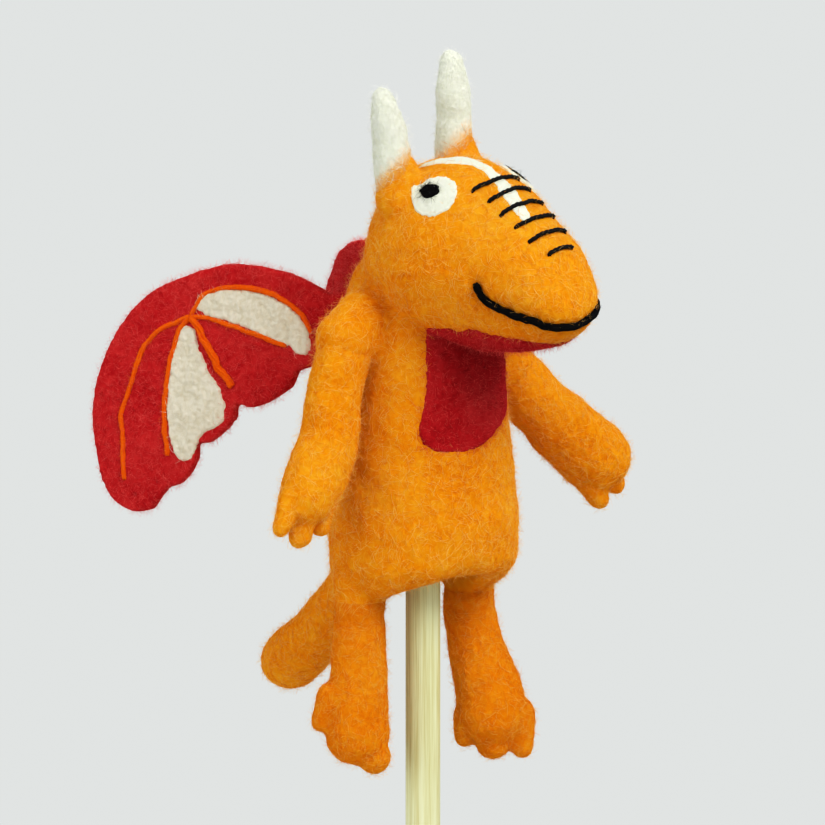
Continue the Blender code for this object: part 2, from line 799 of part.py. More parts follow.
def ribbon(points, half_width):
    """The outline of a strip along a curve, narrowing to round ends."""
    line = smooth_curve(points, 3)
    left, right = [], []
    for i, spot in enumerate(line):
        along = (line[min(i + 1, len(line) - 1)] - line[max(i - 1, 0)]).normalized()
        across = Vector((-along.y, along.x))
        half = half_width * (0.45 if i in (0, len(line) - 1) else 1)
        left.append(spot + across * half)
        right.append(spot - across * half)
    return left + right[::-1]


def make_wing(side, parent):
    face = wing_face(side)
    low = face * (WING_THICK / 2 + GAP)
    high = face * (WING_THICK / 2 + GAP + INLAY_THICK)

    def plate(name, outline, under, over, slot):
        piece(name, prism([wing_point(side, p.x, p.y) for p in outline], under, over), slot, parent)

    plate(f"{side}_wing", wing_outline(), face * -WING_THICK / 2, face * WING_THICK / 2, "red_felt")
    for name, points in PANELS.items():
        plate(f"{side}_wing_{name}", smooth_curve(points, 2, True), low, high, "white_felt")
    for name, points in RIBS.items():
        half = RIB_WIDTH / MM / 2 * (1.7 if name == "rib_short" else 1)
        plate(f"{side}_wing_{name}", ribbon(points, half), low, high, "orange_roving")


# ---- the puppet --------------------------------------------------------------------------------


def main():
    clear_scene()
    make_rod()
    make_wadding(pivot("rod_turn", (0, 0, HEM)))
    torso = pivot("pull_off", (0, 0, HEM))
    make_body_shell(torso)
    make_bib(torso)
    head = pivot("head_nod", NECK_PIVOT)
    make_head(head)
    make_head_envelope()
    surface = HeadSurface()
    make_eyes(surface, head)
    make_blaze(surface, head)
    make_nose_stitches(surface, head)
    make_mouth(surface, head)
    make_jaw_patch(surface, head)
    make_horns(head)
    make_arms({side: pivot(f"{side}_shoulder", SHOULDER[side]) for side in SIDES})
    make_legs({side: pivot(f"{side}_hip", HIP[side]) for side in SIDES})
    make_tail(pivot("tail_root", TAIL_ROOT))
    for side in SIDES:
        make_wing(side, pivot(f"{side}_wing_root", wing_point(side, *WING_HINGE)))


main()
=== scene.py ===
"""Looks of the felt dragon finger puppet: felted wool, loose fibres, thread and bamboo."""

import heapq
import json
import math

import bmesh
import bpy
import numpy as np
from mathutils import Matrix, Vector, noise
from mathutils.bvhtree import BVHTree
from mathutils.kdtree import KDTree


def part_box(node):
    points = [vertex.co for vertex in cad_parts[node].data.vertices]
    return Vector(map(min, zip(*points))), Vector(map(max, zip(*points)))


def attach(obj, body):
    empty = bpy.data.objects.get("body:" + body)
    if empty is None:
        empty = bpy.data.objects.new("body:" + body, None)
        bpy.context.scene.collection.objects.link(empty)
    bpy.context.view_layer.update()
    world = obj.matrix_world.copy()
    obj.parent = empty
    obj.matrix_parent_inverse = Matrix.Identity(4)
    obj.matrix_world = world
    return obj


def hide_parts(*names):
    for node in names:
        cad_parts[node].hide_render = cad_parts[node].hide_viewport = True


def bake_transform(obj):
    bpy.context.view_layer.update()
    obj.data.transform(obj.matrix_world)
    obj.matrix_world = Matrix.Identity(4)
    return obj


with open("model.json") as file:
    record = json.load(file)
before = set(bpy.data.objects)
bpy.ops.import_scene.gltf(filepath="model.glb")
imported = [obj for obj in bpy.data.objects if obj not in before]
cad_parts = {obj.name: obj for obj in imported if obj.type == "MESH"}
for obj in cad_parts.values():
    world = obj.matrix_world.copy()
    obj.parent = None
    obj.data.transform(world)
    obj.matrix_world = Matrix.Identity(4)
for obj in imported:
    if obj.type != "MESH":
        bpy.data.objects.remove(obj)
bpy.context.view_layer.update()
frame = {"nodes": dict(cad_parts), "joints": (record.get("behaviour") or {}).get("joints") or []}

MM = 0.001
PIVOTS = {joint["name"]: Vector(joint["pos_m"]) for joint in frame["joints"] if "pos_m" in joint}
NECK = PIVOTS["head_nod"]
SIDES = {"right": -1, "left": 1}

HEM_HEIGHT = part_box("body_shell")[0].z
LEG_SEAM = HEM_HEIGHT - 1.3 * MM

CAMERA_AZIMUTH = math.radians(-40)
CAMERA_ELEVATION = math.radians(5)
CAMERA_DISTANCE = 0.80
FIELD = 0.165
SENSOR = 36
CAMERA_RIGHT = Vector((math.cos(CAMERA_AZIMUTH), math.sin(CAMERA_AZIMUTH), 0))
FACING = Vector((math.sin(CAMERA_AZIMUTH), -math.cos(CAMERA_AZIMUTH), 0))
UP = Vector((0, 0, 1))
CAMERA_TARGET = Vector((0, 0, 0.1805)) - CAMERA_RIGHT * 2.1 * MM

# Linear colours of the wools: palest fibres, light, middle, deepest; the ramp puts the deepest at random
# low spots and, as painted shade, in the felt's hollows
STRAND_TONES = ("pale", "light", "mid")
ORANGE = ((1.0, 0.66, 0.22), (0.98, 0.49, 0.04), (0.93, 0.325, 0.005), (0.66, 0.145, 0.002))
RED = ((0.9, 0.2, 0.18), (0.76, 0.07, 0.065), (0.55, 0.02, 0.026), (0.24, 0.005, 0.011))
# Throat red: darker than the wing red, partly a deeper wool and partly painted shade under the jaw
THROAT_RED_PAINTED_SHADE = ((0.82, 0.15, 0.13), (0.62, 0.055, 0.055), (0.47, 0.017, 0.023), (0.25, 0.006, 0.011))
# Legs: the orange made darker, partly a deeper wool and partly painted shade under the body's hem
LEG_ORANGE_PAINTED_SHADE = [(red * 0.92, green * 0.8, blue * 0.65) for red, green, blue in ORANGE]
CREAM = ((0.97, 0.94, 0.83), (0.93, 0.88, 0.72), (0.82, 0.75, 0.59), (0.5, 0.43, 0.31))
WHITE = ((1.0, 1.0, 0.93), (0.97, 0.99, 0.87), (0.93, 0.95, 0.78), (0.68, 0.68, 0.5))
BLACK = ((0.05, 0.05, 0.05), (0.02, 0.02, 0.02), (0.008, 0.008, 0.009), (0.003, 0.003, 0.003))
ROVING = ((1.0, 0.4, 0.06), (1.0, 0.24, 0.012), (0.95, 0.165, 0.006), (0.7, 0.07, 0.003))
CORE = ((0.9, 0.85, 0.74), (0.8, 0.75, 0.64), (0.63, 0.58, 0.48), (0.4, 0.35, 0.27))


# ---- materials ----


class Nodes:
    """A short way to add and link shader nodes."""

    def __init__(self, name):
        self.material = bpy.data.materials.new(name)
        self.material.use_nodes = True
        self.tree = self.material.node_tree
        self.shader = self.tree.nodes["Principled BSDF"]

    def add(self, kind, settings=(), **inputs):
        node = self.tree.nodes.new(kind)
        for name, value in dict(settings).items():
            setattr(node, name, value)
        for name, value in inputs.items():
            self.put(node.inputs[name.replace("_", " ")], value)
        return node

    def put(self, socket, value):
        if isinstance(value, bpy.types.NodeSocket):
            self.tree.links.new(value, socket)
        else:
            socket.default_value = value

    def math(self, operation, a, b=0.0, c=0.0):
        node = self.tree.nodes.new("ShaderNodeMath")
        node.operation = operation
        for socket, value in zip(node.inputs, (a, b, c)):
            self.put(socket, value)
        return node.outputs[0]

    def vector_math(self, operation, *values):
        node = self.add("ShaderNodeVectorMath", {"operation": operation})
        for socket, value in zip(node.inputs, values):
            self.put(socket, value)
        return node.outputs

    def fade(self, value, start, end, kind="LINEAR"):
        """0 where the value is at start, 1 where it is at end."""
        node = self.add("ShaderNodeMapRange", {"interpolation_type": kind}, Value=value)
        node.inputs["From Min"].default_value = start
        node.inputs["From Max"].default_value = end
        return node.outputs["Result"]

    def coordinates(self, scale=(1, 1, 1), turn=(0, 0, 0)):
        place = self.add("ShaderNodeTexCoord")
        mapping = self.add("ShaderNodeMapping")
        mapping.inputs["Rotation"].default_value = turn
        mapping.inputs["Scale"].default_value = scale
        self.put(mapping.inputs["Vector"], place.outputs["Object"])
        return mapping.outputs["Vector"]

    def noise(self, vector, scale, detail=2.0, distortion=0.0):
        node = self.add("ShaderNodeTexNoise", Scale=scale, Detail=detail, Distortion=distortion)
        self.put(node.inputs["Vector"], vector)
        return node.outputs["Fac"]

    def ramp(self, factor, stops):
        node = self.add("ShaderNodeValToRGB")
        elements = node.color_ramp.elements
        while len(elements) < len(stops):
            elements.new(0.5)
        for element, (position, colour) in zip(elements, stops):
            element.position = position
            element.color = (*colour, 1)
        self.put(node.inputs["Fac"], factor)
        return node.outputs["Color"]

    def bump(self, height, distance):
        node = self.add("ShaderNodeBump", Strength=1.0, Distance=distance)
        self.put(node.inputs["Height"], height)
        self.put(self.shader.inputs["Normal"], node.outputs["Normal"])

    def finish(self, colour, roughness, sheen, sheen_tint, specular):
        self.put(self.shader.inputs["Base Color"], colour)
        self.shader.inputs["Roughness"].default_value = roughness
        self.shader.inputs["Specular IOR Level"].default_value = specular
        self.shader.inputs["Sheen Weight"].default_value = sheen
        self.shader.inputs["Sheen Roughness"].default_value = 0.4
        self.shader.inputs["Sheen Tint"].default_value = (*sheen_tint, 1)
        return self.material


def fibre_height(nodes, size):
    """Height of matted fibres: fine ridges running in several directions, bent by slower noise."""
    drift = nodes.add("ShaderNodeTexNoise", Scale=0.22 / size, Detail=1.0)
    nodes.put(drift.inputs["Vector"], nodes.coordinates())
    total = None
    for turn in ((0.3, 0.2, 0.5), (1.1, 0.7, 1.9), (2.0, 1.6, 0.1)):
        stretched = nodes.coordinates((1 / size, 1 / size, 0.16 / size), turn)
        bent = nodes.vector_math("MULTIPLY_ADD", drift.outputs["Color"], (7, 7, 7), stretched)
        raw = nodes.noise(bent[0], 1.0, 1.5)
        centred = nodes.math("MULTIPLY_ADD", raw, 7.0, -3.5)
        ridge = nodes.math("SUBTRACT", 1.0, nodes.math("ABSOLUTE", centred))
        total = ridge if total is None else nodes.math("MAXIMUM", total, ridge)
    return nodes.math("MAXIMUM", total, -0.3)


def felt_colour(nodes, wool, fibres_up):
    """Uneven dye and fine mottle; the tone also follows the relief, as painted shade in the hollows and
    painted light on the raised fibres.
    """
    place = nodes.coordinates()
    blotches = nodes.noise(place, 70, 2.0, 0.4)
    mottle = nodes.noise(place, 700, 3.0, 0.5)
    uneven = nodes.math("MULTIPLY_ADD", blotches, 0.55, -0.14)
    tone = nodes.math("MULTIPLY_ADD", mottle, 0.6, uneven)
    # Painted shade and light: the tone follows the fibre height, darker in its hollows and lighter on
    # raised fibres
    tone = nodes.math("MULTIPLY_ADD", fibres_up, 0.12, tone)
    return nodes.ramp(tone, ((0.16, wool[3]), (0.44, wool[2]), (0.86, wool[1]))), mottle


def felt_material(name, wool, sheen):
    nodes = Nodes(name)
    fibres_up = fibre_height(nodes, 0.14 * MM)
    colour, mottle = felt_colour(nodes, wool, fibres_up)
    nodes.bump(nodes.math("MULTIPLY_ADD", mottle, 1.2, fibres_up), 0.08 * MM)
    return nodes.finish(colour, 0.95, sheen, wool[1], 0.05)


# The direction in which each horn turns from white to orange
HORN_FADE_WAY = Vector((0.54, -0.45, -0.7))
HORN_FADE_LENGTH = 6 * MM


def horn_material(name, turning_point):
    """White wool that runs into orange at the foot, higher on the inner front side."""
    nodes = Nodes(name)
    fibres_up = fibre_height(nodes, 0.16 * MM)
    white, mottle = felt_colour(nodes, WHITE, fibres_up)
    orange, _ = felt_colour(nodes, ORANGE, fibres_up)
    from_foot = nodes.vector_math("SUBTRACT", nodes.coordinates(), turning_point)
    way = nodes.vector_math("DOT_PRODUCT", from_foot[0], HORN_FADE_WAY / HORN_FADE_LENGTH)
    share = nodes.math("MULTIPLY_ADD", mottle, 0.5, way["Value"])
    mix = nodes.add("ShaderNodeMix", {"data_type": "RGBA"})
    nodes.put(mix.inputs["Factor"], nodes.fade(share, -0.12, 0.62, "SMOOTHSTEP"))
    nodes.put(mix.inputs["A"], white)
    nodes.put(mix.inputs["B"], orange)
    nodes.bump(nodes.math("MULTIPLY_ADD", mottle, 1.2, fibres_up), 0.09 * MM)
    return nodes.finish(mix.outputs["Result"], 0.95, 0.25, (1, 1, 0.9), 0.06)


def strand_material(name, colour):
    """One tone of loose fibre; each piece of fuzz mixes several."""
    nodes = Nodes(name)
    return nodes.finish((*colour, 1), 0.9, 0.2, colour, 0.08)


def thread_material():
    nodes = Nodes("black_floss")
    grain = nodes.noise(nodes.coordinates(), 3500, 2.0)
    colour = nodes.ramp(grain, ((0.3, BLACK[3]), (0.7, BLACK[2])))
    nodes.bump(grain, 0.05 * MM)
    return nodes.finish(colour, 0.6, 0.0, (1, 1, 1), 0.2)


def bamboo_material():
    nodes = Nodes("bamboo_grain")
    wide = nodes.noise(nodes.coordinates((1, 1, 0.012)), 900, 4.0, 0.3)
    fine = nodes.noise(nodes.coordinates((1, 1, 0.02)), 4200, 2.0)
    patches = nodes.noise(nodes.coordinates((1, 1, 0.15)), 160, 2.0)
    tone = nodes.math("MULTIPLY", wide, 0.5)
    tone = nodes.math("MULTIPLY_ADD", patches, 0.3, tone)
    tone = nodes.math("MULTIPLY_ADD", fine, 0.3, tone)
    stops = (
        (0.36, (0.34, 0.26, 0.1)),
        (0.45, (0.56, 0.52, 0.26)),
        (0.56, (0.69, 0.69, 0.4)),
        (0.75, (0.78, 0.8, 0.54)),
    )
    nodes.bump(nodes.math("ADD", wide, fine), 0.08 * MM)
    return nodes.finish(nodes.ramp(tone, stops), 0.55, 0.0, (1, 1, 1), 0.35)


def make_materials():
    made = {}
    for name, wool, sheen in (
        ("orange", ORANGE, 0.3),
        ("leg_orange_painted_shade", LEG_ORANGE_PAINTED_SHADE, 0.3),
        ("red", RED, 0.3),
        ("dark_red", THROAT_RED_PAINTED_SHADE, 0.2),
        ("cream", CREAM, 0.2),
        ("white", WHITE, 0.2),
        ("black", BLACK, 0.0),
        ("roving", ROVING, 0.2),
        ("core", CORE, 0.2),
    ):
        made[name] = felt_material(f"{name}_felted_wool", wool, sheen)
        made[f"{name}_strands"] = [
            strand_material(f"{name}_{tone}_strand", colour) for tone, colour in zip(STRAND_TONES, wool)
        ]
    made["thread"] = thread_material()
    made["bamboo"] = bamboo_material()
    return made


# ---- mesh tools ----


def as_object(name, mesh, material):
    made = bpy.data.objects.new(name, mesh)
    mesh.materials.clear()
    for each in material if isinstance(material, list) else [material]:
        mesh.materials.append(each)
    bpy.context.scene.collection.objects.link(made)
    return made


def object_from(bm, name, material):
    """A new object that takes over a bmesh."""
    mesh = bpy.data.meshes.new(name)
    bm.to_mesh(mesh)
    bm.free()
    return as_object(name, mesh, material)


def vertices_of(obj):
    co = np.empty(len(obj.data.vertices) * 3, np.float32)
    obj.data.vertices.foreach_get("co", co)
    return co.reshape(-1, 3).astype(float)


def move_vertices(obj, places):
    obj.data.vertices.foreach_set("co", np.asarray(places, np.float32).ravel())
    obj.data.update()


def normals_of(obj):
    found = np.empty(len(obj.data.vertices) * 3, np.float32)
    obj.data.vertex_normals.foreach_get("vector", found)
    return found.reshape(-1, 3).astype(float)


def tree_of(obj):
    polygons = [tuple(p.vertices) for p in obj.data.polygons]
    return BVHTree.FromPolygons([tuple(v.co) for v in obj.data.vertices], polygons)


def point_tree(points):
    tree = KDTree(len(points))
    for i, point in enumerate(points):
        tree.insert(point, i)
    tree.balance()
    return tree


def soft_union(name, nodes, voxel, rounds, material, balls=()):
    """CAD nodes and balls melted into one smooth closed skin."""
    bm = bmesh.new()
    for node in nodes:
        bm.from_mesh(frame["nodes"][node].data)
    bmesh.ops.remove_doubles(bm, verts=bm.verts, dist=0.001 * MM)
    for centre, radius in balls:
        found = bmesh.ops.create_icosphere(bm, subdivisions=3, radius=radius)
        bmesh.ops.translate(bm, verts=found["verts"], vec=centre)
    made = object_from(bm, name, material)
    remesh = made.modifiers.new("skin", "REMESH")
    remesh.mode = "VOXEL"
    remesh.voxel_size = voxel
    smooth = made.modifiers.new("soften", "SMOOTH")
    smooth.factor = 0.5
    smooth.iterations = rounds
    return apply_modifiers(made)


def soften(obj, rounds, share):
    """Smooths a skin by a share given for each vertex."""
    group = obj.vertex_groups.new(name="soften")
    for i, weight in enumerate(share):
        group.add([i], float(weight), "REPLACE")
    smooth = obj.modifiers.new("soften", "SMOOTH")
    smooth.factor = 0.5
    smooth.iterations = rounds
    smooth.vertex_group = group.name
    return apply_modifiers(obj)


def apply_modifiers(obj):
    ready = obj.evaluated_get(bpy.context.evaluated_depsgraph_get())
    mesh = bpy.data.meshes.new_from_object(ready)
    obj.modifiers.clear()
    obj.data = mesh
    mesh.shade_smooth()
    return obj


def roughen(obj, lumps, grain, seed=0.0, lump_size=5 * MM, grain_size=1.1 * MM):
    """Moves the skin in and out: soft lumps of a hand-felted shape, and a finer grain."""
    co, normals = vertices_of(obj), normals_of(obj)
    shift = Vector((seed, seed * 0.7, -seed))
    heights = np.empty(len(co))
    for i, point in enumerate(co):
        p = Vector(point)
        slow = noise.noise(p / lump_size + shift)
        fast = noise.noise(p / grain_size - shift)
        heights[i] = lumps * slow + grain * fast
    move_vertices(obj, co + normals * heights[:, None])
    return obj


def rim_of(node, base_tree):
    """Points close together round the outline of a thin CAD node that lies on a skin."""
    bm = joined_mesh(node)
    rim = []
    for edge in bm.edges:
        a, b = (vert.co for vert in edge.verts)
        middle = (a + b) / 2
        skin_normal = base_tree.find_nearest(middle)[1]
        slopes = [abs(face.normal.dot(skin_normal)) for face in edge.link_faces]
        if slopes and min(slopes) < 0.55 < max(slopes):
            steps = max(2, int((b - a).length / (0.25 * MM)))
            rim += [a.lerp(b, k / steps) for k in range(steps)]
    bm.free()
    return rim


FAR_OUTSIDE = -9 * MM
# An outline further off the skin than this lies on the other side of the felt
SKIN_GAP = 2.6 * MM


def inside_by(node, points, normals, base_tree):
    """How far each point of a skin is inside a thin CAD node's outline; outside is negative."""
    rim = rim_of(node, base_tree)
    rim_tree = point_tree(rim)
    centre = np.mean(rim, axis=0)
    reach = np.linalg.norm(np.array(rim) - centre, axis=1).max()
    bm = joined_mesh(node)
    solid = BVHTree.FromBMesh(bm)
    bm.free()
    found = np.full(len(points), FAR_OUTSIDE)
    near = np.linalg.norm(points - centre, axis=1) < reach + 4 * MM
    for i in np.flatnonzero(near):
        point, normal = Vector(points[i]), Vector(normals[i])
        spot = rim_tree.find(point)[0]
        away = point - spot
        lift = away.dot(normal)
        across = (away - lift * normal).length
        hit, slope, _, _ = solid.ray_cast(point - normal * 1.2 * MM, normal, 3.6 * MM)
        if hit is not None and abs(slope.dot(normal)) > 0.6:
            found[i] = min(across, reach + 0.3 * MM - (point - Vector(centre)).length)
        elif abs(lift) < SKIN_GAP:
            found[i] = -across
    return found


def even_out(obj, field, rounds=3):
    """Averages a field with its neighbours, which rounds off small corners of an outline."""
    edges = np.array([edge.vertices[:] for edge in obj.data.edges])
    count = np.bincount(edges.ravel(), minlength=len(field))
    field = np.maximum(field, -3 * MM)
    for _ in range(rounds):
        total = np.bincount(edges[:, 0], field[edges[:, 1]], len(field))
        total += np.bincount(edges[:, 1], field[edges[:, 0]], len(field))
        field = (field + total / np.maximum(count, 1)) / 2
    return field


def keep_largest(bm):
    """Leaves only the island of faces with the most faces."""
    waiting = set(bm.faces)
    islands = []
    while waiting:
        edge_on = [waiting.pop()]
        island = []
        while edge_on:
            face = edge_on.pop()
            island.append(face)
            for edge in face.edges:
                for other in edge.link_faces:
                    if other in waiting:
                        waiting.remove(other)
                        edge_on.append(other)
        islands.append(island)
    islands.sort(key=len)
    stray = [face for island in islands[:-1] for face in island]
    bmesh.ops.delete(bm, geom=stray, context="FACES")


INLAY_ROOT = 0.45 * MM
INLAY_THICKNESS = 0.35 * MM


def inlay(name, base, field, material, rise, seed=0.0, cuts=1, edge=0.9 * MM, rough=0.08 * MM):
    """Wool needled onto a skin wherever field, in metres inside its outline, is positive.

    The wool stands off the skin by rise in the middle and dives below it past the outline.
    """
    bm = bmesh.new()
    bm.from_mesh(base.data)
    layer = bm.verts.layers.float.new("inside")
    for vert, value in zip(bm.verts, field):
        vert[layer] = value
    outside = [f for f in bm.faces if max(v[layer] for v in f.verts) < -1.1 * MM]
    bmesh.ops.delete(bm, geom=outside, context="FACES")
    keep_largest(bm)
    for _ in range(cuts):
        bmesh.ops.subdivide_edges(bm, edges=bm.edges, cuts=1, use_grid_fill=True, smooth=0.5)
    bm.normal_update()
    shift = Vector((seed, -seed, seed / 2))
    places = []
    for vert in bm.verts:
        wander = 0.35 * MM * noise.noise(vert.co / (1.6 * MM) + shift)
        wander += 0.2 * MM * noise.noise(vert.co / (0.55 * MM) - shift)
        share = min(1, max(0, (vert[layer] + wander) / edge + 0.5))
        height = -INLAY_ROOT + (rise + INLAY_ROOT) * share * share * (3 - 2 * share)
        height += rough * noise.noise(vert.co / (0.9 * MM) - shift)
        places.append(vert.co + vert.normal * height)
    for vert, place in zip(bm.verts, places):
        vert.co = place
    made = object_from(bm, name, material)
    thick = made.modifiers.new("thickness", "SOLIDIFY")
    thick.thickness = INLAY_THICKNESS
    thick.offset = -1
    return apply_modifiers(made)


def joined_mesh(node):
    """A CAD node's mesh with its doubled corners joined."""
    bm = bmesh.new()
    bm.from_mesh(frame["nodes"][node].data)
    bmesh.ops.remove_doubles(bm, verts=bm.verts, dist=0.002 * MM)
    bm.verts.ensure_lookup_table()
    return bm


def reach_from(bm, start):
    """Distance along the edges from one vertex to every other."""
    reach = {start: 0.0}
    edge_on = [(0.0, start)]
    while edge_on:
        so_far, index = heapq.heappop(edge_on)
        if so_far > reach[index]:
            continue
        vert = bm.verts[index]
        for edge in vert.link_edges:
            other = edge.other_vert(vert).index
            total = so_far + edge.calc_length()
            if total < reach.get(other, math.inf):
                reach[other] = total
                heapq.heappush(edge_on, (total, other))
    return reach


def centreline(node, count):
    """Points along the middle of a long thin CAD node, from one end to the other."""
    bm = joined_mesh(node)
    reach = reach_from(bm, 0)
    reach = reach_from(bm, max(reach, key=reach.get))
    order = np.array(sorted(reach.values()))
    edges = np.linspace(0, order[-1] + 1e-9, count + 1)
    points = []
    for low, high in zip(edges, edges[1:]):
        inside = [bm.verts[i].co for i, far in reach.items() if low <= far < high]
        if inside:
            points.append(np.mean(inside, axis=0))
    bm.free()
    return np.array(points)


def resample(points, step):
    """The same line with evenly spaced points."""
    points = np.asarray(points, float)
    lengths = np.linalg.norm(np.diff(points, axis=0), axis=1)
    reach = np.concatenate([[0], np.cumsum(lengths)])
    wanted = np.linspace(0, reach[-1], max(4, int(reach[-1] / step) + 1))
    return np.stack([np.interp(wanted, reach, points[:, i]) for i in range(3)], axis=1)


def soften_line(points, rounds):
    for _ in range(rounds):
        points[1:-1] = (points[:-2] + 2 * points[1:-1] + points[2:]) / 4
    return points


def unit(vectors):
    return vectors / (np.linalg.norm(vectors, axis=-1, keepdims=True) + 1e-12)


def tubes(name, rows, radii, normals, sides, material, tones=None):
    """Closed tubes along many lines at once. rows is (points, lines, 3); radii is (points, lines)."""
    count, lines = rows.shape[:2]
    along = unit(np.gradient(rows, axis=0))
    across = unit(np.cross(along, normals))
    up = np.cross(across, along)
    turns = np.arange(sides) * 2 * math.pi / sides
    ring = across[:, :, None] * np.cos(turns)[:, None] + up[:, :, None] * np.sin(turns)[:, None]
    co = rows[:, :, None] + ring * radii[:, :, None, None]
    co = co.transpose(1, 0, 2, 3).reshape(-1, 3)
    first = (np.arange(lines) * count * sides)[:, None, None]
    k = (np.arange(count - 1) * sides)[None, :, None]
    c = np.arange(sides)[None, None, :]
    d = (c + 1) % sides
    base = first + k
    quads = np.stack([base + c, base + d, base + sides + d, base + sides + c], axis=-1)
    quads = quads.reshape(lines, -1, 4)
    start = first[:, :, 0] + np.arange(sides)[::-1][None, :]
    end = first[:, :, 0] + (count - 1) * sides + np.arange(sides)[None, :]
    faces = quads.reshape(-1, 4).tolist() + start.tolist() + end.tolist()
    mesh = bpy.data.meshes.new(name)
    mesh.from_pydata(co, [], faces)
    mesh.shade_smooth()
    made = as_object(name, mesh, material)
    if tones is not None:
        side_tones = np.repeat(tones, (count - 1) * sides)
        face_tones = np.concatenate([side_tones, tones, tones])
        mesh.polygons.foreach_set("material_index", face_tones.astype(np.int32))
    return made


# ---- loose fibres ----


def scatter(obj, density, rng, share=None):
    """Random points on a skin, and their normals; density is fibres per square millimetre."""
    mesh = obj.data
    mesh.calc_loop_triangles()
    corners = np.empty(len(mesh.loop_triangles) * 3, np.int32)
    mesh.loop_triangles.foreach_get("vertices", corners)
    corners = corners.reshape(-1, 3)
    co = vertices_of(obj)
    a, b, c = (co[corners[:, i]] for i in range(3))
    cross = np.cross(b - a, c - a)
    size = np.linalg.norm(cross, axis=1) / 2
    weight = size if share is None else size * share[corners].mean(axis=1)
    count = int(weight.sum() / MM**2 * density)
    chosen = rng.choice(len(size), count, p=weight / weight.sum())
    u, v = rng.random(count), rng.random(count)
    flip = u + v > 1
    u[flip], v[flip] = 1 - u[flip], 1 - v[flip]
    points = a[chosen] + u[:, None] * (b - a)[chosen] + v[:, None] * (c - a)[chosen]
    return points, cross[chosen] / (2 * size[chosen, None])


# How many of a wool's fibres take each strand tone
EVEN_MIX = (0.25, 0.45, 0.3)
DARK_MIX = (0, 0.5, 0.5)
FIBRE_STEPS = 4


def fuzz(
    name, base, material, density, length=(2, 4.5), lift=0.3, width=0.026,
    seed=1, share=None, mix=EVEN_MIX, stray=0.45, raised=0.0,
):
    """Curled fibres that lie along a skin, some of them straying off it.

    density is fibres per square millimetre; length, lift, width and raised are in millimetres;
    share thins the fibres out over the skin, and stray is the share of loose ends.
    """
    rng = np.random.default_rng(seed)
    points, normals = scatter(base, density, rng, share)
    count = len(points)
    tree = tree_of(base)
    way = rng.normal(size=(count, 3))
    way = unit(way - (way * normals).sum(1, keepdims=True) * normals)
    reach = rng.uniform(*length, count) * MM
    curl = rng.normal(0, 0.3, count)
    turn = rng.random(count) * 2 * math.pi
    rise = np.abs(rng.normal(0.3, 0.4, count)) * lift * MM
    loose = rng.random(count) < stray
    rise[loose] = rng.uniform(0.4, 1.6, loose.sum()) * MM
    reach[loose] *= 0.5
    rows, ups = [points + normals * (raised - 0.15) * MM], [normals]
    place, up = points.copy(), normals.copy()
    for k in range(1, FIBRE_STEPS + 1):
        swing = curl + 0.2 * np.sin(turn + 2.1 * k)
        side = np.cross(up, way)
        way = way * np.cos(swing)[:, None] + side * np.sin(swing)[:, None]
        ahead = place + way * (reach / FIBRE_STEPS)[:, None]
        for i in range(count):
            place[i], up[i] = tree.find_nearest(ahead[i])[:2]
        way = unit(way - (way * up).sum(1, keepdims=True) * up)
        along = k / FIBRE_STEPS
        arch = np.where(loose, along**1.2, math.sin(math.pi * min(along, 0.9)))
        rows.append(place + up * (rise * arch + raised * MM)[:, None])
        ups.append(up.copy())
    rows, ups = np.array(rows), np.array(ups)
    taper = np.interp(np.linspace(0, 1, FIBRE_STEPS + 1), [0, 0.3, 0.75, 1], [0.8, 1, 0.8, 0.25])
    thick = rng.uniform(0.6, 1.3, count) * np.where(loose, 0.7, 1)
    radii = taper[:, None] * thick[None, :] * width * MM
    tones = rng.choice(len(material), count, p=mix)
    tones[loose & (rng.random(count) < 0.6)] = 0
    return tubes(name, rows, radii, ups, 3, material, tones)


def twisted(name, line, normals, plies, strand, wind, pitch, material, wobble=0.0, seed=3):
    """A thread of several plies wound round a line; sizes are in millimetres."""
    rng = np.random.default_rng(seed)
    count = len(line)
    reach = np.concatenate([[0], np.cumsum(np.linalg.norm(np.diff(line, axis=0), axis=1))])
    along = np.gradient(line, axis=0)
    along /= np.linalg.norm(along, axis=1, keepdims=True)
    across = np.cross(along, normals)
    across /= np.linalg.norm(across, axis=1, keepdims=True)
    up = np.cross(across, along)
    rows = np.empty((count, plies, 3))
    for p in range(plies):
        drift = np.convolve(rng.normal(0, 1, count + 8), np.ones(9) / 9, "valid") * wobble * MM
        turn = reach / (pitch * MM) * 2 * math.pi + p * 2 * math.pi / plies
        offset = across * np.cos(turn)[:, None] + up * np.sin(turn)[:, None]
        rows[:, p] = line + offset * wind * MM + across * drift[:, None]
    taper = np.clip(np.minimum(reach, reach[-1] - reach) / (0.5 * MM) + 0.35, 0, 1)
    radii = np.repeat((taper * strand * MM)[:, None], plies, axis=1)
    return tubes(name, rows, radii, np.repeat(up[:, None], plies, axis=1), 6, material)


# ---- limb joints, and transforms baked into meshes ----


def follow_neck(piece):
    """Bakes the piece's transform into its mesh."""
    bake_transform(piece)


LIMB_JOINTS = {
    "right_arm": "right_arm_lift",
    "left_arm": "left_arm_lift",
    "right_leg": "right_leg_swing",
    "left_leg": "left_leg_swing",
    "tail": "tail_swing",
}


def limb_way(limb):
    """The joint's place and the direction from it down a limb."""
    pivot = PIVOTS[LIMB_JOINTS[limb]]
    low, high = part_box(limb)
    return pivot, ((low + high) / 2 - pivot).normalized()


def inward_from(pivot):
    """The level direction from a joint to the middle of the body."""
    return Vector((-pivot.x, -pivot.y, 0)).normalized()


def follow_limb(piece, limb):
    if "leg" in limb:
        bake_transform(piece)
    else:
        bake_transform(piece)


def follow_wing(piece):
    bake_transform(piece)


# ---- body ----


